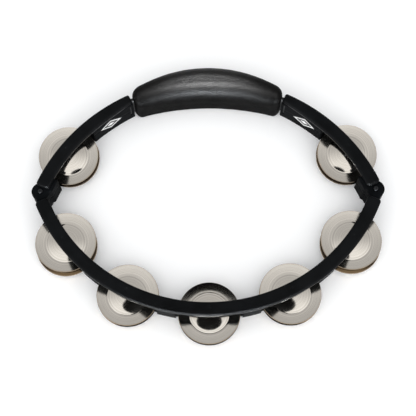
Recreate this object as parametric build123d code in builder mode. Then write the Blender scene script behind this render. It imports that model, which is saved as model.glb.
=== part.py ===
from build123d import *
from math import acos, cos, degrees, radians, sin
import os

# A headless hand tambourine, in millimetres. The ring is lens-shaped in plan: a front arc and a back arc
# of the same radius meet at a knuckle on the left and on the right. X runs to the right, Y from the
# front arc to the hand grip, Z up along the jingle pins, and the ring stands on Z = 0.
# Angles are degrees from the middle of an arc, positive towards +X.

# ---- Ring ----
ARC_RADIUS = 146.5  # centreline radius of both arcs
ARC_SHIFT = 49.5  # distance of each arc's centre from the middle of the lens, on the far side
RING_HEIGHT = 28.0
PARTING_HEIGHT = 14.0  # where the upper and lower mouldings meet
FLANGE_THICKNESS = 3.5  # top rim, and bottom rail under the slots
RIM_OUTER = 5.7  # offsets are from the centreline, positive outwards
RIM_INNER = -5.6
ARM_RIM_INNER = -2.0  # the rim's inner edge where an arm meets the grip
WALL_HALF = 4.3  # half thickness of the wall blocks at the parting line
ARM_WALL_INNER = -3.4  # the wall's inner face where an arm meets the grip
WALL_DRAFT = 0.4  # the walls lean in by this much, away from the parting line
RAIL_HALF = 2.6  # half width of the bottom rail under the slots
RIM_ROUNDING = 1.3  # along the rim's top edges
RIM_END_ROUNDING = 2.6  # in plan, beside the knuckles
ARM_END_ROUNDING = 1.8  # in plan, beside the grip

CORNER = degrees(acos(ARC_SHIFT / ARC_RADIUS))  # where the two arcs cross
RIM_END = CORNER - 2.4
ARM_TAPER_START = 42.0
ARM_END = 25.9
STATION_STEP = 26.5  # between neighbouring jingle pins

# ---- Jingles ----
DISC_RADIUS = 25.0
DISC_THICKNESS = 0.8
DISC_HOLE_RADIUS = 3.2
DOME_RADIUS = 15.7
DOME_RISE = 4.0
CREASE_RISE = 0.18  # the dome's edge, above the valley
VALLEY_RADIUS = 16.6
BRIM_RISE = 1.9
SLOT_RADIUS = 27.0
LOWER_VALLEY = 8.5  # height of the lower disc's valley, its dome just above the slot's floor
VALLEY_GAP = 1.5  # from the lower disc's valley up to the upper disc's
# How far the loose discs hang off their pins' axes, inwards along X and along Y
ARM_LOWER_HANG = (0.6, -1.35)
ARM_UPPER_HANG = (0.0, -0.6)
SIDE_LOWER_HANG = (0.7, -0.8)
SIDE_UPPER_HANG = (0.3, 1.4)
FRONT_HANG = (0.0, 0.0)
BACK_TILT = 8.0  # the discs on the back arms lean forwards
FRONT_TILT = 1.5
BACK_LIFT = 1.8  # a leaning pair rests on its brim, so it sits higher

PIN_RADIUS = 1.3
PIN_CLEARANCE = 0.06  # radial, in the blind seats
PIN_END_GAP = 0.1
PIN_SEAT_DEPTH = 2.3
PIN_CHAMFER = 0.25

# ---- Knuckles and screws ----
KNUCKLE_X = 137.2
KNUCKLE_BEHIND = 2.6  # behind the middle of the lens
KNUCKLE_RADIUS = 7.3
PAD_INNER = -8.4  # the back arm's wall is thicker beside the knuckle
PAD_START = 60.0
PAD_SHOULDER = 68.0
PAD_END = 70.1
PAD_END_INNER = -4.0
SHANK_RADIUS = 1.25
SHANK_CLEARANCE = 0.15  # in the shell that the screw passes through
THREAD_CLEARANCE = 0.02  # in the shell that the screw bites into
HEAD_RADIUS = 2.2
HEAD_HEIGHT = 1.4
HEAD_RECESS = 1.6
CORNER_HEAD_RADIUS = 1.9
HEX_SOCKET = 1.1  # circumradius
HEX_DEPTH = 0.8
HEAD_ROUNDING = 0.5
CORNER_SCREW_TIP = 4.5
FRAME_SCREW_TIP = 22.0
SCREW_END_GAP = 0.5

# ---- Hand grip and its core ----
GRIP_END = 25.2
GRIP_HEIGHT = 30.0
GRIP_INNER_MIDDLE = -11.5
GRIP_INNER_END = -7.0
GRIP_OUTER_MIDDLE = 17.4
GRIP_OUTER_END = 9.5
GRIP_PLAN_OUTER_ROUNDING = 7.5
GRIP_PLAN_INNER_ROUNDING = 6.5
GRIP_EDGE_ROUNDING = 6.0
CORE_END = 22.0
CORE_INNER = -2.5
CORE_OUTER = 7.0
CORE_BOTTOM = 6.0
CORE_TOP = 23.0
CORE_ROUNDING = 2.0
TONGUE_ROOT = 20.0
TONGUE_END = 30.4
TONGUE_INNER = -0.6
TONGUE_OUTER = 2.6
TONGUE_GAP = 0.1
LATCH_START = 26.6
LATCH_FINISH = 27.3
LATCH_BOTTOM = 6.0
LATCH_TOP = 22.0
LATCH_DEPTH = 1.6  # how far the latch nose stands into its window
LATCH_GAP = 0.15
LATCH_END_GAP = 0.06  # in degrees, at each side of the nose

# ---- Badges ----
BADGE_ANGLE = 35.2
BADGE_CENTRE_HEIGHT = 13.0
BADGE_WIDTH = 24.0
BADGE_HEIGHT = 14.4
BADGE_FACE = -4.0  # offset of the badge's visible face
BADGE_BACK = -3.4
BADGE_INSIDE = -6.0  # the recess is cut from here, clear of the wall
BADGE_ROUNDING = 1.2
BADGE_SPAN = 6.0  # degrees either side that hold the whole badge

FLANGE_BOTTOM = RING_HEIGHT - FLANGE_THICKNESS
# Puts the whole outline's middle, from the front disc's edge to the grip's back, on Y = 0
LENS_Y = (DISC_RADIUS - GRIP_OUTER_MIDDLE) / 2
FRONT = -1
BACK = 1
LEFT = -1
RIGHT = 1
STATIONS = [(BACK, -2), (FRONT, -2), (FRONT, -1), (FRONT, 0), (FRONT, 1), (FRONT, 2), (BACK, 2)]
BLOCK_ANGLES = [-1.5 * STATION_STEP, -0.5 * STATION_STEP, 0.5 * STATION_STEP, 1.5 * STATION_STEP]
ARM_SCREW_ANGLE = 40.4


def on_arc(side, angle, offset=0.0):
    """Plan point at an angle on an arc, offset outwards from its centreline."""
    reach = ARC_RADIUS + offset
    return (reach * sin(radians(angle)), LENS_Y + side * (reach * cos(radians(angle)) - ARC_SHIFT))


def arc_edge(side, start, finish, offset, end_offset):
    """Plan arc along the ring, whose offset eases from one value to another."""
    middle_offset = offset + (end_offset - offset) / 4
    middle = (start + finish) / 2
    return ThreePointArc(
        on_arc(side, start, offset), on_arc(side, middle, middle_offset), on_arc(side, finish, end_offset)
    )


def stretch(side, start, finish, inner, outer, inner_end=None):
    """Face of a stretch of the ring between two angles, added to the open sketch."""
    with BuildLine(mode=Mode.PRIVATE) as outline:
        near = arc_edge(side, start, finish, inner, inner if inner_end is None else inner_end)
        far = arc_edge(side, start, finish, outer, outer)
        Line(near @ 0, far @ 0)
        Line(near @ 1, far @ 1)
    make_face(outline.edges())


def walls(far_height):
    """Wall blocks, drafted from the parting line to another height, and the knuckles with their pads."""
    levels = [(PARTING_HEIGHT, 0.0), (far_height, WALL_DRAFT)]
    with BuildPart(mode=Mode.PRIVATE) as blocks:
        for height, lean in levels:
            with BuildSketch(Plane.XY.offset(height)):
                stretch(FRONT, -CORNER, CORNER, lean - WALL_HALF, WALL_HALF - lean)
        loft(ruled=True)
        for hand in (LEFT, RIGHT):
            for height, lean in levels:
                with BuildSketch(Plane.XY.offset(height)):
                    stretch(
                        BACK, hand * CORNER, hand * ARM_TAPER_START, lean - WALL_HALF, WALL_HALF - lean
                    )
            loft(ruled=True)
            for height, lean in levels:
                with BuildSketch(Plane.XY.offset(height)):
                    stretch(
                        BACK, hand * ARM_TAPER_START, hand * ARM_END, lean - WALL_HALF, WALL_HALF - lean,
                        lean + ARM_WALL_INNER,
                    )
            loft(ruled=True)
            with BuildSketch(Plane.XY.offset(PARTING_HEIGHT)):
                with Locations((hand * KNUCKLE_X, LENS_Y + KNUCKLE_BEHIND)):
                    Circle(KNUCKLE_RADIUS)
                stretch(BACK, hand * PAD_START, hand * PAD_SHOULDER, PAD_INNER, 0)
                with BuildLine():
                    Polyline(
                        on_arc(BACK, hand * PAD_SHOULDER, PAD_INNER),
                        on_arc(BACK, hand * PAD_END, PAD_END_INNER),
                        on_arc(BACK, hand * PAD_END), on_arc(BACK, hand * PAD_SHOULDER), close=True,
                    )
                make_face()
            extrude(amount=far_height - PARTING_HEIGHT)
    return blocks.part


def tongue_pocket_plan():
    """Plan of the pockets in the arms' ends that take the core's tongues."""
    for hand in (LEFT, RIGHT):
        start = hand * (ARM_END - 1.0)
        finish = hand * (TONGUE_END + 0.2)
        stretch(BACK, start, finish, TONGUE_INNER - TONGUE_GAP, TONGUE_OUTER + TONGUE_GAP)


def latch_window_plan():
    """Plan of the windows in the arms' inner walls that the core's latches spring into."""
    for hand in (LEFT, RIGHT):
        stretch(BACK, hand * LATCH_START, hand * LATCH_FINISH, RIM_INNER, TONGUE_INNER)


def arm_plane(hand, height):
    """Upright plane across an arm at its badge, facing outwards."""
    x, y = on_arc(BACK, hand * BADGE_ANGLE)
    outward = Vector(sin(radians(hand * BADGE_ANGLE)), cos(radians(BADGE_ANGLE)), 0)
    return Plane(origin=(x, y, height), x_dir=outward.cross(Vector(0, 0, 1)), z_dir=outward)


def badge_solid(hand, inner, outer):
    """Lozenge plate that follows the arm's curve between two offsets."""
    start = hand * (BADGE_ANGLE - BADGE_SPAN)
    finish = hand * (BADGE_ANGLE + BADGE_SPAN)
    with BuildPart(mode=Mode.PRIVATE) as plate:
        with BuildSketch(arm_plane(hand, BADGE_CENTRE_HEIGHT)) as lozenge:
            with BuildLine():
                Polyline(
                    (-BADGE_WIDTH / 2, 0), (0, BADGE_HEIGHT / 2), (BADGE_WIDTH / 2, 0),
                    (0, -BADGE_HEIGHT / 2), close=True,
                )
            make_face()
            fillet(lozenge.vertices(), radius=BADGE_ROUNDING)
        extrude(amount=2 * WALL_HALF, both=True)
        with BuildSketch():
            stretch(BACK, start, finish, inner, outer)
        extrude(amount=FLANGE_BOTTOM, mode=Mode.INTERSECT)
    return plate.part


def jingle_disc(plane):
    """Domed disc with a turned-up brim, about the plane's normal, its valley at the plane's origin."""
    with BuildPart() as disc:
        half_section = Plane(origin=plane.origin, x_dir=plane.x_dir, z_dir=plane.x_dir.cross(plane.z_dir))
        with BuildSketch(half_section):
            with BuildLine():
                dome_end = (DOME_RADIUS, CREASE_RISE)
                dome_rise = DOME_RISE - CREASE_RISE
                dome_radius = (DOME_RADIUS**2 + dome_rise**2) / (2 * dome_rise)
                start_angle = degrees(acos(DISC_HOLE_RADIUS / dome_radius))
                end_angle = degrees(acos(DOME_RADIUS / dome_radius))
                dome = CenterArc(
                    (0, DOME_RISE - dome_radius), dome_radius, start_angle, end_angle - start_angle,
                )
                valley = TangentArc(dome @ 1, (VALLEY_RADIUS, 0), tangent=dome % 1)
                TangentArc(valley @ 1, (DISC_RADIUS, BRIM_RISE), tangent=valley % 1)
                offset(amount=DISC_THICKNESS, side=Side.LEFT)
            make_face()
        revolve(axis=Axis(plane.origin, plane.z_dir))
    return disc.part


station_points = [on_arc(side, step * STATION_STEP) for side, step in STATIONS]
screw_points = [on_arc(FRONT, block) for block in BLOCK_ANGLES]
screw_points += [on_arc(BACK, hand * ARM_SCREW_ANGLE) for hand in (LEFT, RIGHT)]
knuckle_points = [(hand * KNUCKLE_X, LENS_Y + KNUCKLE_BEHIND) for hand in (LEFT, RIGHT)]

os.makedirs("parts", exist_ok=True)

# ---- Top rim: a band that runs over the slots, in one arc at the front and one in each arm ----
with BuildPart() as top_rim:
    with BuildSketch(Plane.XY.offset(FLANGE_BOTTOM)) as rim_plan:
        stretch(FRONT, -RIM_END, RIM_END, RIM_INNER, RIM_OUTER)
        for hand in (LEFT, RIGHT):
            stretch(BACK, hand * RIM_END, hand * ARM_TAPER_START, RIM_INNER, RIM_OUTER)
            stretch(BACK, hand * ARM_TAPER_START, hand * ARM_END, RIM_INNER, RIM_OUTER, ARM_RIM_INNER)
        near_knuckles = rim_plan.vertices().filter_by(lambda v: abs(v.X) > 125)
        fillet(near_knuckles, radius=RIM_END_ROUNDING)
        near_grip = rim_plan.vertices().filter_by(lambda v: v.Y > 50 and abs(v.X) < 70)
        fillet(near_grip, radius=ARM_END_ROUNDING)
    extrude(amount=FLANGE_THICKNESS)
    fillet(top_rim.faces().filter_by(Plane.XY).group_by(Axis.Z)[-1].edges(), radius=RIM_ROUNDING)
    with BuildSketch(Plane.XY.offset(FLANGE_BOTTOM)):
        with Locations(*station_points):
            Circle(PIN_RADIUS + PIN_CLEARANCE)
    extrude(amount=PIN_SEAT_DEPTH, mode=Mode.SUBTRACT)
top_rim.part.label = "top_rim"
export_step(top_rim.part, "parts/top_rim.step")

# ---- Upper walls: the upper half of the wall blocks, under the rim ----
with BuildPart() as upper_walls:
    add(walls(FLANGE_BOTTOM))
    with BuildSketch(Plane.XY.offset(PARTING_HEIGHT)):
        with Locations(*station_points):
            Circle(SLOT_RADIUS)
        tongue_pocket_plan()
    extrude(amount=FLANGE_BOTTOM - PARTING_HEIGHT, mode=Mode.SUBTRACT)
    with BuildSketch(Plane.XY.offset(PARTING_HEIGHT)):
        latch_window_plan()
    extrude(amount=LATCH_TOP - PARTING_HEIGHT, mode=Mode.SUBTRACT)
    with BuildSketch(Plane.XY.offset(PARTING_HEIGHT)):
        with Locations(*screw_points):
            Circle(SHANK_RADIUS + THREAD_CLEARANCE)
    extrude(amount=FRAME_SCREW_TIP + SCREW_END_GAP - PARTING_HEIGHT, mode=Mode.SUBTRACT)
    with BuildSketch(Plane.XY.offset(PARTING_HEIGHT)):
        with Locations(*knuckle_points):
            Circle(SHANK_RADIUS + SHANK_CLEARANCE)
    extrude(amount=FLANGE_BOTTOM - PARTING_HEIGHT, mode=Mode.SUBTRACT)
    for hand in (LEFT, RIGHT):
        add(badge_solid(hand, BADGE_INSIDE, BADGE_BACK), mode=Mode.SUBTRACT)
upper_walls.part.label = "upper_walls"
export_step(upper_walls.part, "parts/upper_walls.step")

# ---- Bottom rail: a narrow bridge under each slot, from one wall block to the next ----
with BuildPart() as bottom_rail:
    with BuildSketch():
        stretch(FRONT, -CORNER, CORNER, -RAIL_HALF, RAIL_HALF)
        for hand in (LEFT, RIGHT):
            stretch(BACK, hand * CORNER, hand * ARM_TAPER_START, -RAIL_HALF, RAIL_HALF)
    extrude(amount=FLANGE_THICKNESS)
    with BuildSketch():
        with Locations(*station_points):
            Circle(SLOT_RADIUS)
    extrude(amount=FLANGE_THICKNESS, mode=Mode.INTERSECT)
    with BuildSketch(Plane.XY.offset(FLANGE_THICKNESS)):
        with Locations(*station_points):
            Circle(PIN_RADIUS + PIN_CLEARANCE)
    extrude(amount=-PIN_SEAT_DEPTH, mode=Mode.SUBTRACT)
bottom_rail.part.label = "bottom_rail"
export_step(bottom_rail.part, "parts/bottom_rail.step")

# ---- Lower walls: the lower half of the wall blocks ----
with BuildPart() as lower_walls:
    add(walls(0))
    with BuildSketch():
        with Locations(*station_points):
            Circle(SLOT_RADIUS)
    extrude(amount=PARTING_HEIGHT, mode=Mode.SUBTRACT)
    with BuildSketch(Plane.XY.offset(PARTING_HEIGHT)):
        tongue_pocket_plan()
    extrude(amount=FLANGE_THICKNESS - PARTING_HEIGHT, mode=Mode.SUBTRACT)
    with BuildSketch(Plane.XY.offset(PARTING_HEIGHT)):
        latch_window_plan()
    extrude(amount=LATCH_BOTTOM - PARTING_HEIGHT, mode=Mode.SUBTRACT)
    with BuildSketch():
        with Locations(*screw_points):
            Circle(SHANK_RADIUS + SHANK_CLEARANCE)
    extrude(amount=PARTING_HEIGHT, mode=Mode.SUBTRACT)
    with BuildSketch():
        with Locations(*screw_points):
            Circle(HEAD_RADIUS + SHANK_CLEARANCE)
    extrude(amount=HEAD_RECESS, mode=Mode.SUBTRACT)
    with BuildSketch(Plane.XY.offset(PARTING_HEIGHT)):
        with Locations(*knuckle_points):
            Circle(SHANK_RADIUS + THREAD_CLEARANCE)
    extrude(amount=CORNER_SCREW_TIP - SCREW_END_GAP - PARTING_HEIGHT, mode=Mode.SUBTRACT)
    for hand in (LEFT, RIGHT):
        add(badge_solid(hand, BADGE_INSIDE, BADGE_BACK), mode=Mode.SUBTRACT)
lower_walls.part.label = "lower_walls"
export_step(lower_walls.part, "parts/lower_walls.step")

# ---- Grip core: a curved bar with a latched tongue into each arm ----
with BuildPart() as grip_core:
    with BuildSketch(Plane.XY.offset(CORE_BOTTOM)) as bar_plan:
        stretch(BACK, -CORE_END, CORE_END, CORE_INNER, CORE_OUTER)
        fillet(bar_plan.vertices(), radius=CORE_ROUNDING)
    extrude(amount=CORE_TOP - CORE_BOTTOM)
    with BuildSketch(Plane.XY.offset(FLANGE_THICKNESS + TONGUE_GAP)):
        for hand in (LEFT, RIGHT):
            stretch(BACK, hand * TONGUE_ROOT, hand * TONGUE_END, TONGUE_INNER, TONGUE_OUTER)
    extrude(amount=FLANGE_BOTTOM - FLANGE_THICKNESS - 2 * TONGUE_GAP)
    with BuildSketch(Plane.XY.offset(LATCH_BOTTOM + LATCH_GAP)):
        for hand in (LEFT, RIGHT):
            stretch(
                BACK, hand * (LATCH_START + LATCH_END_GAP), hand * (LATCH_FINISH - LATCH_END_GAP),
                TONGUE_INNER - LATCH_DEPTH, TONGUE_INNER + TONGUE_GAP,
            )
    extrude(amount=LATCH_TOP - LATCH_BOTTOM - 2 * LATCH_GAP)
grip_core.part.label = "grip_core"
export_step(grip_core.part, "parts/grip_core.step")

# ---- Hand grip: a soft sleeve moulded round the core ----
with BuildPart() as hand_grip:
    with BuildSketch() as grip_plan:
        with BuildLine():
            inner_edge = ThreePointArc(
                on_arc(BACK, -GRIP_END, GRIP_INNER_END), on_arc(BACK, 0, GRIP_INNER_MIDDLE),
                on_arc(BACK, GRIP_END, GRIP_INNER_END),
            )
            outer_edge = ThreePointArc(
                on_arc(BACK, -GRIP_END, GRIP_OUTER_END), on_arc(BACK, 0, GRIP_OUTER_MIDDLE),
                on_arc(BACK, GRIP_END, GRIP_OUTER_END),
            )
            Line(inner_edge @ 0, outer_edge @ 0)
            Line(inner_edge @ 1, outer_edge @ 1)
        make_face()
        half_way = (inner_edge @ 0 + outer_edge @ 0) / 2
        inner_corners = grip_plan.vertices().filter_by(lambda v: v.Y < half_way.Y)
        fillet(inner_corners, radius=GRIP_PLAN_INNER_ROUNDING)
        outer_corners = grip_plan.vertices().filter_by(lambda v: v.Y > half_way.Y + 3)
        fillet(outer_corners, radius=GRIP_PLAN_OUTER_ROUNDING)
    extrude(amount=GRIP_HEIGHT)
    fillet(hand_grip.faces().filter_by(Plane.XY).edges(), radius=GRIP_EDGE_ROUNDING)
    add(grip_core.part, mode=Mode.SUBTRACT)
hand_grip.part.label = "hand_grip"
export_step(hand_grip.part, "parts/hand_grip.step")

# ---- Badges: thin plates let into the arms' inner walls ----
for hand, name in ((LEFT, "badge_left"), (RIGHT, "badge_right")):
    badge = badge_solid(hand, BADGE_FACE, BADGE_BACK)
    badge.label = name
    export_step(badge, f"parts/{name}.step")

# ---- Corner screws: one down each knuckle ----
with BuildPart() as corner_screws:
    with BuildSketch(Plane.XY.offset(CORNER_SCREW_TIP)):
        with Locations(*knuckle_points):
            Circle(SHANK_RADIUS)
    extrude(amount=FLANGE_BOTTOM - CORNER_SCREW_TIP)
    with BuildSketch(Plane.XY.offset(FLANGE_BOTTOM)):
        with Locations(*knuckle_points):
            Circle(CORNER_HEAD_RADIUS)
    extrude(amount=HEAD_HEIGHT)
    head_tops = corner_screws.faces().filter_by(Plane.XY).group_by(Axis.Z)[-1]
    fillet(head_tops.edges(), radius=HEAD_ROUNDING)
    with BuildSketch(Plane.XY.offset(FLANGE_BOTTOM + HEAD_HEIGHT)):
        with Locations(*knuckle_points):
            RegularPolygon(HEX_SOCKET, 6)
    extrude(amount=-HEX_DEPTH, mode=Mode.SUBTRACT)
corner_screws.part.label = "corner_screws"
export_step(corner_screws.part, "parts/corner_screws.step")

# ---- Frame screws: up through the lower walls into the upper ones ----
with BuildPart() as frame_screws:
    with BuildSketch(Plane.XY.offset(HEAD_RECESS - HEAD_HEIGHT)):
        with Locations(*screw_points):
            Circle(HEAD_RADIUS)
            RegularPolygon(HEX_SOCKET, 6, mode=Mode.SUBTRACT)
    extrude(amount=HEX_DEPTH)
    with BuildSketch(Plane.XY.offset(HEAD_RECESS - HEAD_HEIGHT + HEX_DEPTH)):
        with Locations(*screw_points):
            Circle(HEAD_RADIUS)
    extrude(amount=HEAD_HEIGHT - HEX_DEPTH)
    with BuildSketch(Plane.XY.offset(HEAD_RECESS)):
        with Locations(*screw_points):
            Circle(SHANK_RADIUS)
    extrude(amount=FRAME_SCREW_TIP - HEAD_RECESS)
frame_screws.part.label = "frame_screws"
export_step(frame_screws.part, "parts/frame_screws.step")

# ---- Jingles: a pin and two discs at each station, numbered from the left arm round the front ----
for number, (side, step) in enumerate(STATIONS, start=1):
    x, y = on_arc(side, step * STATION_STEP)
    tilt = radians(BACK_TILT if side == BACK else FRONT_TILT)
    lower_height = LOWER_VALLEY + (BACK_LIFT if side == BACK else 0.0)
    if side == BACK:
        lower_hang, upper_hang = ARM_LOWER_HANG, ARM_UPPER_HANG
    elif abs(step) == 2:
        lower_hang, upper_hang = SIDE_LOWER_HANG, SIDE_UPPER_HANG
    else:
        lower_hang, upper_hang = FRONT_HANG, FRONT_HANG
    inwards = LEFT if step > 0 else RIGHT

    with BuildPart() as pin:
        with BuildSketch(Plane.XY.offset(FLANGE_THICKNESS - PIN_SEAT_DEPTH + PIN_END_GAP)):
            with Locations((x, y)):
                Circle(PIN_RADIUS)
        extrude(amount=FLANGE_BOTTOM - FLANGE_THICKNESS + 2 * (PIN_SEAT_DEPTH - PIN_END_GAP))
        chamfer(pin.edges().filter_by(GeomType.CIRCLE), length=PIN_CHAMFER)
    pin.part.label = f"jingle_pin_{number}"
    export_step(pin.part, f"parts/jingle_pin_{number}.step")

    # The lower disc's dome and brim face down, the upper disc's up.
    discs = {
        "lower": (lower_hang, lower_height, (0, sin(tilt), -cos(tilt))),
        "upper": (upper_hang, lower_height + VALLEY_GAP, (0, -sin(tilt), cos(tilt))),
    }
    for name, (hang, height, normal) in discs.items():
        centre = (x + inwards * hang[0], y + hang[1], height)
        disc = jingle_disc(Plane(origin=centre, x_dir=(1, 0, 0), z_dir=normal))
        disc.label = f"jingle_{name}_{number}"
        export_step(disc, f"parts/jingle_{name}_{number}.step")
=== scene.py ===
import bpy
from math import cos, pi, radians, sin, sqrt
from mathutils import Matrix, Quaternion, Vector, noise


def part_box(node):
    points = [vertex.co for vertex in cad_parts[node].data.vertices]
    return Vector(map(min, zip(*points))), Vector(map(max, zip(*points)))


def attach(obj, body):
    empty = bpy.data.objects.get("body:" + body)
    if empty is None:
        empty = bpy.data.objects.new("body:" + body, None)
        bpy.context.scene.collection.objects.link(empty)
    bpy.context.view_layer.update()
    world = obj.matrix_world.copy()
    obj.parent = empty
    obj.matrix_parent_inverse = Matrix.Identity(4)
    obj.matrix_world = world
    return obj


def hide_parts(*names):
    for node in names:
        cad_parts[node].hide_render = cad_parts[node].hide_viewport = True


# A headless hand tambourine: black moulded ring, rubber hand grip, spun nickel jingles.

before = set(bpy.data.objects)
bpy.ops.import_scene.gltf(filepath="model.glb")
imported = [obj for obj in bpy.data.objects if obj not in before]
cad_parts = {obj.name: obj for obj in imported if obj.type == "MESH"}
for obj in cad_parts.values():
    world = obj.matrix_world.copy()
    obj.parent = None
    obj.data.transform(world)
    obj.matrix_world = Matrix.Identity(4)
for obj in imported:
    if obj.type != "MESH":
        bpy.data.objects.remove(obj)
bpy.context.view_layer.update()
scene = bpy.context.scene
MM = 0.001

ARC_RADIUS = 146.5 * MM  # of the ring's back arc, along the middle of its wall
ARC_CENTRE_Y = -45.7 * MM
GRIP_END = radians(25.2)
GRIP_HEIGHT = 30.0 * MM
GRIP_INNER = 7.0 * MM  # from the arc to the grip's inner side, at its ends
GRIP_INNER_BULGE = 4.5 * MM  # more than that in its middle
GRIP_OUTER = 9.5 * MM
GRIP_OUTER_BULGE = 7.9 * MM
GRIP_CORNERS = (13.0 * MM, 11.0 * MM, 5.0 * MM, 2.8 * MM)  # inner top, outer top, outer bottom, inner bottom
INNER_END_ROUNDING = 4.5 * MM
OUTER_END_ROUNDING = 9.0 * MM
BOTTOM_END_ROUNDING = 2.5 * MM
TOP_END_ROUNDING = 5.0 * MM
DISC_RADIUS = 25.0 * MM
EASING_START = 15.6 * MM  # at the dome's edge
EASING_END = 18.0 * MM
BRIM_EASING = 0.40  # share of the brim's slope that its shading leaves out
EDGE_ROUNDING = 3.5 * MM
BADGE_ANGLE = radians(35.2)
BADGE_HALF_WIDTH = 12.0 * MM
BADGE_HALF_HEIGHT = 7.2 * MM

# Colours, the darker one of a pair first
NICKEL = ((0.51, 0.477, 0.428), (0.61, 0.577, 0.525))
# Lower discs: nickel painted nearly black, as painted shade and a painted dark reflection of the upper disc
# above them
LOWER_DISC_PAINTED_SHADE = ((0.012, 0.009, 0.007), (0.045, 0.032, 0.020))
# Tan painted on the front edge of the lower discs: a painted reflection
PAINTED_REFLECTION_TAN = (0.17, 0.115, 0.062)
BARE_EDGE = (0.30, 0.235, 0.165)
RIM_BLACK = ((0.0018, 0.0022, 0.0026), (0.0040, 0.0046, 0.0053))
WALL_BLACK = ((0.0018, 0.0022, 0.0026), (0.0044, 0.0052, 0.0062))
CORE_BLACK = ((0.009, 0.009, 0.009), (0.015, 0.015, 0.015))
RUBBER_BLACK = ((0.0035, 0.0034, 0.0034), (0.0075, 0.0073, 0.0072))
DULL_STEEL = (0.035, 0.036, 0.038)
BRIGHT_STEEL = (0.62, 0.61, 0.59)
BADGE_BLACK = (0.012, 0.012, 0.013)
INK_WHITE = (0.86, 0.87, 0.86)


# ---- Node helpers ----
def new_material(name):
    """Empty material with a Principled shader on its output."""
    material = bpy.data.materials.new(name)
    material.use_nodes = True
    tree = material.node_tree
    tree.nodes.clear()
    output = tree.nodes.new("ShaderNodeOutputMaterial")
    shader = tree.nodes.new("ShaderNodeBsdfPrincipled")
    tree.links.new(shader.outputs["BSDF"], output.inputs["Surface"])
    return material, tree, shader


def node(tree, kind, settings=None, **inputs):
    """Adds a node, sets its properties, then sets or links its inputs by name or by number."""
    made = tree.nodes.new("ShaderNode" + kind)
    for key, value in (settings or {}).items():
        setattr(made, key, value)
    for key, value in inputs.items():
        socket = made.inputs[int(key[1:])] if key[0] == "i" and key[1:].isdigit() else made.inputs[key]
        if isinstance(value, bpy.types.NodeSocket):
            tree.links.new(value, socket)
        else:
            socket.default_value = value
    return made


def maths(tree, operation, a, b=0.0):
    return node(tree, "Math", {"operation": operation}, i0=a, i1=b).outputs[0]


def blend_colour(tree, factor, a, b):
    return node(tree, "Mix", {"data_type": "RGBA"}, i0=factor, i6=a, i7=b).outputs[2]


def ramp(tree, value, start, end, low=0.0, high=1.0, kind="LINEAR"):
    """Low until start, high from end on, and a straight or smooth change between them."""
    limits = {"From Min": start, "From Max": end, "To Min": low, "To Max": high}
    return node(tree, "MapRange", {"interpolation_type": kind}, Value=value, **limits).outputs[0]


def spread(tree, value, low, high):
    """Maps 0..1 to low..high."""
    return ramp(tree, value, 0.0, 1.0, low, high)


def axis_part(tree, vector, axis):
    return node(tree, "SeparateXYZ", None, Vector=vector).outputs[axis]


def noise_value(tree, vector, scale, detail, roughness):
    made = node(tree, "TexNoise", None, Vector=vector, Scale=scale, Detail=detail, Roughness=roughness)
    return made.outputs[0]


def bump(tree, height, strength, distance, normal=None):
    made = node(tree, "Bump", None, Strength=strength, Distance=distance, Height=height)
    if normal is not None:
        tree.links.new(normal, made.inputs["Normal"])
    return made.outputs[0]


def wear_colours(tree, shader, coordinates, dark, light, scale):
    """Patchy variation between two close colours."""
    patches = noise_value(tree, coordinates, scale, 3.0, 0.6)
    sharper = ramp(tree, patches, 0.35, 0.65)
    tree.links.new(blend_colour(tree, sharper, (*dark, 1), (*light, 1)), shader.inputs["Base Color"])


# ---- Materials ----
def moulded_plastic(name, dark, light, roughness, level):
    """Black moulding with a fine texture, its edges rounded off in the shading."""
    material, tree, shader = new_material(name)
    coordinates = node(tree, "TexCoord").outputs["Object"]
    wear_colours(tree, shader, coordinates, dark, light, 60.0)
    smudges = noise_value(tree, coordinates, 90.0, 4.0, 0.65)
    tree.links.new(spread(tree, smudges, roughness - 0.07, roughness + 0.07), shader.inputs["Roughness"])
    fine = noise_value(tree, coordinates, 2600.0, 2.0, 0.5)
    wavy = noise_value(tree, coordinates, 220.0, 2.0, 0.5)
    rounded = node(tree, "Bevel", {"samples": 6}, Radius=EDGE_ROUNDING).outputs[0]
    relief = bump(tree, fine, 0.35, 0.05 * MM, rounded)
    tree.links.new(bump(tree, wavy, 0.25, 0.12 * MM, relief), shader.inputs["Normal"])
    shader.inputs["Specular IOR Level"].default_value = level
    return material


def grained_rubber(name):
    """Leathery rubber, polished by the hand along the middle of the grip's top."""
    material, tree, shader = new_material(name)
    coordinates = node(tree, "TexCoord").outputs["Object"]
    wear_colours(tree, shader, coordinates, *RUBBER_BLACK, 120.0)
    smudges = noise_value(tree, coordinates, 240.0, 4.0, 0.7)
    from_middle = maths(tree, "ABSOLUTE", axis_part(tree, coordinates, "X"))
    middle = ramp(tree, from_middle, 5 * MM, 58 * MM, 1.0, 0.04, "SMOOTHSTEP")
    ridge = ramp(tree, axis_part(tree, coordinates, "Z"), 23 * MM, 28.5 * MM, kind="SMOOTHSTEP")
    polish = maths(tree, "MULTIPLY", middle, ridge)
    smoothing = maths(tree, "MULTIPLY", polish, 0.10)
    rough = maths(tree, "SUBTRACT", spread(tree, smudges, 0.36, 0.54), smoothing)
    tree.links.new(rough, shader.inputs["Roughness"])
    tree.links.new(spread(tree, polish, 0.012, 0.12), shader.inputs["Specular IOR Level"])
    cells = node(tree, "TexVoronoi", {"feature": "DISTANCE_TO_EDGE"}, Vector=coordinates, Scale=900.0)
    creases = ramp(tree, cells.outputs["Distance"], 0.0, 0.22)
    fine = noise_value(tree, coordinates, 3000.0, 2.0, 0.6)
    lumps = noise_value(tree, coordinates, 620.0, 3.0, 0.6)
    relief = bump(tree, creases, 0.45, 0.12 * MM)
    relief = bump(tree, fine, 0.30, 0.05 * MM, relief)
    tree.links.new(bump(tree, lumps, 0.9, 0.34 * MM, relief), shader.inputs["Normal"])
    return material


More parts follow.
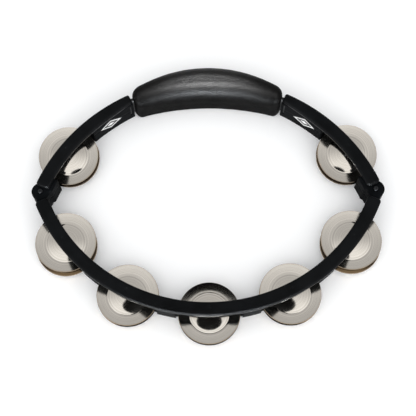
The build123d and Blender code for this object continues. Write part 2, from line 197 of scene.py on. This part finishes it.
def ring_noise(tree, radius, scale, detail):
    """Noise that changes only with the distance from a disc's middle."""
    made = node(tree, "TexNoise", {"noise_dimensions": "1D"}, W=radius, Scale=scale, Detail=detail)
    return made.outputs[0]


def eased_brim(tree, radius):
    """Shading direction of a disc, with the slope of its brim drawn flatter than it is."""
    natural = node(tree, "NewGeometry").outputs["Normal"]
    on_brim = ramp(tree, radius, EASING_START, EASING_END, 0.0, BRIM_EASING)
    faces_up = ramp(tree, axis_part(tree, natural, "Z"), 0.7, 0.85)
    amount = maths(tree, "MULTIPLY", on_brim, faces_up)
    eased = node(tree, "Mix", {"data_type": "VECTOR"}, i0=amount, i4=natural, i5=(0, 0, 1)).outputs[1]
    return node(tree, "VectorMath", {"operation": "NORMALIZE"}, i0=eased).outputs[0]


def spun_metal(name, centre, dark, light, front=None):
    """Metal with the fine rings that spinning leaves about a disc's middle, and a painted reflection in
    another colour near its front.
    """
    material, tree, shader = new_material(name)
    coordinates = node(tree, "TexCoord").outputs["Object"]
    local = node(tree, "VectorMath", {"operation": "SUBTRACT"}, i0=coordinates, i1=centre).outputs[0]
    flat = node(tree, "VectorMath", {"operation": "MULTIPLY"}, i0=local, i1=(1, 1, 0)).outputs[0]
    radius = node(tree, "VectorMath", {"operation": "LENGTH"}, i0=flat).outputs["Value"]
    coarse = maths(tree, "MULTIPLY", ring_noise(tree, radius, 900.0, 2.0), 0.6)
    fine = maths(tree, "MULTIPLY", ring_noise(tree, radius, 4200.0, 1.0), 0.4)
    rings = maths(tree, "ADD", coarse, fine)
    relief = bump(tree, rings, 0.16, 0.02 * MM, eased_brim(tree, radius))
    tree.links.new(relief, shader.inputs["Normal"])
    handled = noise_value(tree, coordinates, 130.0, 3.0, 0.6)
    tree.links.new(spread(tree, handled, 0.07, 0.15), shader.inputs["Roughness"])
    patches = noise_value(tree, coordinates, 45.0, 2.0, 0.5)
    tint = blend_colour(tree, patches, (*dark, 1), (*light, 1))
    # The front colour is a painted reflection, laid over the disc's near edge
    if front:
        painted_reflection_mask = ramp(tree, axis_part(tree, local, "Y"), -18.0 * MM, -23.0 * MM)
        tint = blend_colour(tree, painted_reflection_mask, tint, (*front, 1))
    grooves = ramp(tree, rings, 0.38, 0.62, 0.0, 0.45)
    ringed = blend_colour(tree, grooves, tint, (*[0.68 * c for c in dark], 1))
    cut_edge = ramp(tree, radius, DISC_RADIUS - 0.65 * MM, DISC_RADIUS - 0.25 * MM)
    tree.links.new(blend_colour(tree, cut_edge, ringed, (*BARE_EDGE, 1)), shader.inputs["Base Color"])
    shader.inputs["Metallic"].default_value = 1.0
    shader.inputs["Anisotropic"].default_value = 0.55
    tangent = node(tree, "Tangent", {"direction_type": "RADIAL", "axis": "Z"})
    tree.links.new(tangent.outputs[0], shader.inputs["Tangent"])
    return material


def turned_steel(name, colour, roughness):
    """Plain steel with small scuffs."""
    material, tree, shader = new_material(name)
    coordinates = node(tree, "TexCoord").outputs["Object"]
    scuffs = noise_value(tree, coordinates, 1500.0, 3.0, 0.6)
    tree.links.new(spread(tree, scuffs, roughness - 0.08, roughness + 0.1), shader.inputs["Roughness"])
    tree.links.new(blend_colour(tree, scuffs, (*[0.85 * c for c in colour], 1), (*colour, 1)),
                   shader.inputs["Base Color"])
    tree.links.new(bump(tree, scuffs, 0.2, 0.02 * MM), shader.inputs["Normal"])
    shader.inputs["Metallic"].default_value = 1.0
    return material


def printed_badge(name, centre, turn):
    """White lozenge outline and a small diamond, printed on black."""
    material, tree, shader = new_material(name)
    coordinates = node(tree, "TexCoord").outputs["Object"]
    local = node(tree, "VectorMath", {"operation": "SUBTRACT"}, i0=coordinates, i1=centre).outputs[0]
    turned = node(tree, "VectorRotate", {"rotation_type": "Z_AXIS"}, Vector=local, Angle=-turn).outputs[0]
    parts = node(tree, "SeparateXYZ", None, Vector=turned)
    across = maths(tree, "ABSOLUTE", parts.outputs["X"])
    up = maths(tree, "ABSOLUTE", parts.outputs["Z"])
    share_across = maths(tree, "DIVIDE", across, BADGE_HALF_WIDTH)
    lozenge = maths(tree, "ADD", share_across, maths(tree, "DIVIDE", up, BADGE_HALF_HEIGHT))
    inside_edge = maths(tree, "LESS_THAN", lozenge, 0.86)
    outside_field = maths(tree, "GREATER_THAN", lozenge, 0.66)
    outline = maths(tree, "MULTIPLY", outside_field, inside_edge)
    diamond = maths(tree, "LESS_THAN", lozenge, 0.30)
    ink = maths(tree, "MAXIMUM", outline, diamond)
    printed = blend_colour(tree, ink, (*BADGE_BLACK, 1), (*INK_WHITE, 1))
    tree.links.new(printed, shader.inputs["Base Color"])
    grain = noise_value(tree, coordinates, 1800.0, 2.0, 0.5)
    tree.links.new(spread(tree, grain, 0.34, 0.46), shader.inputs["Roughness"])
    tree.links.new(bump(tree, ink, 0.4, 0.04 * MM), shader.inputs["Normal"])
    return material


def paint(name, material):
    """Gives every material slot of a CAD node's object the same material."""
    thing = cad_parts[name]
    if not thing.material_slots:
        thing.data.materials.append(None)
    for slot in thing.material_slots:
        slot.link = "OBJECT"
        slot.material = material


# ---- Hand grip: a rubber sleeve with a round shoulder towards the player's palm ----
def rounded_section(low, high, radii):
    """Closed outline of a box whose four corners have the radii given."""
    corner_steps = 10
    side_steps = 7
    (x0, z0), (x1, z1) = low, high
    corners = [(x0, z1, 1, -1, pi), (x1, z1, -1, -1, pi / 2), (x1, z0, -1, 1, 0.0), (x0, z0, 1, 1, -pi / 2)]
    room = min(x1 - x0, z1 - z0) / 2 * 0.98
    arcs = []
    for (x, z, dx, dz, start), radius in zip(corners, radii):
        r = min(radius, room)
        turns = [start - k / corner_steps * pi / 2 for k in range(corner_steps + 1)]
        arcs.append([(x + dx * r + r * cos(turn), z + dz * r + r * sin(turn)) for turn in turns])
    points = []
    for arc, following in zip(arcs, arcs[1:] + arcs[:1]):
        points += arc
        (ax, az), (bx, bz) = arc[-1], following[0]
        for k in range(1, side_steps):
            points.append((ax + (bx - ax) * k / side_steps, az + (bz - az) * k / side_steps))
    return points


def inset(distance, radius):
    """How far a rounded end stands back from its side, at a distance from the tip."""
    if distance >= radius:
        return 0.0
    return radius - sqrt(max(radius**2 - (radius - distance) ** 2, 0.0))


def on_arc(angle, offset, height):
    """Point at an angle along the back arc, some way outside its middle."""
    reach = ARC_RADIUS + offset
    return Vector((reach * sin(angle), ARC_CENTRE_Y + reach * cos(angle), height))


def section_loop(angle, section, size=1.0):
    """The section's points at an angle along the arc, drawn in towards their middle by a size under 1."""
    middle_x = sum(p[0] for p in section) / len(section)
    middle_z = sum(p[1] for p in section) / len(section)
    spots = [(middle_x + (x - middle_x) * size, middle_z + (z - middle_z) * size) for x, z in section]
    return [on_arc(angle, x, z) for x, z in spots]


def grip_sections(steps):
    """Angle and outline of each section along the grip, closer together near its ends."""
    rows = []
    end_reach = ARC_RADIUS * GRIP_END
    for k in range(steps + 1):
        s = k / steps * 2 - 1
        angle = s * (1.5 - 0.5 * s * s) * GRIP_END
        distance = end_reach - abs(angle) * ARC_RADIUS
        bulge = 1 - (abs(angle) / GRIP_END) ** 2
        inner = -GRIP_INNER - GRIP_INNER_BULGE * bulge + inset(distance, INNER_END_ROUNDING)
        outer = GRIP_OUTER + GRIP_OUTER_BULGE * bulge - inset(distance, OUTER_END_ROUNDING)
        bottom = inset(distance, BOTTOM_END_ROUNDING)
        top = GRIP_HEIGHT - inset(distance, TOP_END_ROUNDING)
        rows.append((angle, rounded_section((inner, bottom), (outer, top), GRIP_CORNERS)))
    return rows


def build_grip():
    """Sleeve swept along the back arc, thicker in the middle, with rounded ends."""
    rows = grip_sections(150)
    count = len(rows[0][1])
    cap_rings = 6
    cap_sizes = [c / cap_rings for c in range(1, cap_rings)]
    loops = [section_loop(*rows[0], size) for size in cap_sizes]
    loops += [section_loop(*row) for row in rows]
    loops += [section_loop(*rows[-1], size) for size in reversed(cap_sizes)]
    vertices = [point for loop in loops for point in loop]
    faces = []
    for row in range(len(loops) - 1):
        for k in range(count):
            a, b = row * count + k, row * count + (k + 1) % count
            faces.append((a, b, b + count, a + count))
    for row, flip in ((0, True), (len(loops) - 1, False)):
        tip = len(vertices)
        vertices.append(sum(loops[row], Vector()) / count)
        for k in range(count):
            a, b = row * count + k, row * count + (k + 1) % count
            faces.append((b, a, tip) if flip else (a, b, tip))
    mesh = bpy.data.meshes.new("grip_sleeve")
    mesh.from_pydata(vertices, [], faces)
    mesh.update()
    mesh.shade_smooth()
    for vertex in mesh.vertices:
        broad = noise.noise(vertex.co * 160.0) * 0.10 * MM
        small = noise.noise(vertex.co * 420.0) * 0.05 * MM
        vertex.co += vertex.normal * (broad + small - 0.12 * MM)
        vertex.co.z = min(max(vertex.co.z, 0.0), GRIP_HEIGHT)
    return bpy.data.objects.new("grip_sleeve", mesh)


grip = build_grip()
scene.collection.objects.link(grip)
grip.data.materials.append(grained_rubber("grip_rubber"))
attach(grip, "frame")
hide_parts("hand_grip")

# ---- Finishes of the CAD parts ----
satin_black = moulded_plastic("frame_plastic", *RIM_BLACK, 0.36, 0.055)
matt_black = moulded_plastic("frame_walls", *WALL_BLACK, 0.55, 0.020)
core_black = moulded_plastic("core_plastic", *CORE_BLACK, 0.5, 0.3)
screw_steel = turned_steel("screw_steel", DULL_STEEL, 0.4)
pin_steel = turned_steel("pin_steel", BRIGHT_STEEL, 0.28)
paint("top_rim", satin_black)
for part in ("upper_walls", "lower_walls", "bottom_rail"):
    paint(part, matt_black)
paint("grip_core", core_black)
for part in ("corner_screws", "frame_screws"):
    paint(part, screw_steel)
for hand, part in ((-1, "badge_left"), (1, "badge_right")):
    low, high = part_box(part)
    paint(part, printed_badge(part + "_print", (low + high) / 2, -hand * BADGE_ANGLE))
for number in range(1, 8):
    paint(f"jingle_pin_{number}", pin_steel)
    for half in ("lower", "upper"):
        part = f"jingle_{half}_{number}"
        low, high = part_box(part)
        # Upper discs get nickel; lower discs get painted shade, nearly black
        dark, light = NICKEL if half == "upper" else LOWER_DISC_PAINTED_SHADE
        # Lower discs 2 to 6 also get a painted tan reflection at their front
        front = PAINTED_REFLECTION_TAN if half == "lower" and 1 < number < 7 else None
        paint(part, spun_metal(part + "_plate", (low + high) / 2, dark, light, front))

# ---- Floor, light and camera ----
bpy.ops.mesh.primitive_plane_add(size=6.0, location=(0, 0, -0.0002))
floor = bpy.context.object
floor.name = "floor"
material, tree, shader = new_material("floor_paper")
shader.inputs["Base Color"].default_value = (0.95, 0.955, 0.96, 1)
shader.inputs["Roughness"].default_value = 0.9
shader.inputs["Specular IOR Level"].default_value = 0.1
shader.inputs["Emission Color"].default_value = (0.94, 0.97, 1.0, 1)
shader.inputs["Emission Strength"].default_value = 0.07
floor.data.materials.append(material)

world = bpy.data.worlds.new("studio")
scene.world = world
world.use_nodes = True
tree = world.node_tree
tree.nodes.clear()
direction = node(tree, "TexCoord").outputs["Generated"]
brightness = ramp(tree, axis_part(tree, direction, "Y"), -0.5, 0.45, 1.54, 0.80, "SMOOTHSTEP")
background = node(tree, "Background", None, Color=(1.0, 1.0, 1.0, 1), Strength=brightness)
output = tree.nodes.new("ShaderNodeOutputWorld")
tree.links.new(background.outputs[0], output.inputs["Surface"])


def softbox(name, place, aim, width, depth, power):
    """Rectangular area light."""
    data = bpy.data.lights.new(name, "AREA")
    data.shape = "RECTANGLE"
    data.size = width
    data.size_y = depth
    data.energy = power
    lamp = bpy.data.objects.new(name, data)
    lamp.location = place
    lamp.rotation_mode = "QUATERNION"
    lamp.rotation_quaternion = (Vector(aim) - Vector(place)).to_track_quat("-Z", "Y")
    scene.collection.objects.link(lamp)
    return lamp


def card(name, middle, half_width, half_depth, half_height, strength):
    """Round card, level or upright, that only shiny surfaces see: black, or glowing."""
    count = 48
    turns = [k / count * 2 * pi for k in range(count)]
    points = [Vector((half_width * cos(t), half_depth * sin(t), half_height * sin(t))) for t in turns]
    mesh = bpy.data.meshes.new(name)
    mesh.from_pydata(points, [], [list(range(count))])
    made = bpy.data.objects.new(name, mesh)
    made.location = middle
    made.visible_camera = made.visible_diffuse = made.visible_shadow = False
    card_material = bpy.data.materials.new(name)
    card_material.use_nodes = True
    card_tree = card_material.node_tree
    card_tree.nodes.clear()
    glow = node(card_tree, "Emission", None, Color=(0.9, 0.95, 1.0, 1), Strength=strength)
    surface = card_tree.nodes.new("ShaderNodeOutputMaterial")
    card_tree.links.new(glow.outputs[0], surface.inputs["Surface"])
    mesh.materials.append(card_material)
    scene.collection.objects.link(made)


# A small lamp overhead lights the grip's ridge alone. The cards give the shiny discs their dark patches
# and the front rim its light along the outer shoulder.
lamp_targets = bpy.data.collections.new("lamp_targets")
lamp_targets.objects.link(grip)
sheen = softbox("grip_sheen", (-0.07, 0.10, 0.9), (0, 0.09, 0), width=0.16, depth=0.10, power=46.0)
sheen.visible_diffuse = False
sheen.light_linking.receiver_collection = lamp_targets
card("dark_opening", (0, -0.150, 0.166), half_width=0.120, half_depth=0.080, half_height=0, strength=0.0)
card("low_front", (0, -0.90, 0.22), half_width=0.60, half_depth=0, half_height=0.16, strength=120.0)

# The camera looks down from the front, at the height that the ring's two arcs and the jingles ask for.
camera_data = bpy.data.cameras.new("camera")
camera_data.lens = 82.47
camera_data.sensor_width = 36.0
camera = bpy.data.objects.new("camera", camera_data)
stand = Vector((-1.58, -252.36, 760.16)) * MM
target = Vector((-0.22, -4.97, 12.0)) * MM
camera.location = stand
camera.rotation_mode = "QUATERNION"
roll = Quaternion((0, 0, 1), radians(-0.17))
camera.rotation_quaternion = (target - stand).to_track_quat("-Z", "Y") @ roll
scene.collection.objects.link(camera)
scene.camera = camera
scene.view_settings.view_transform = "Standard"
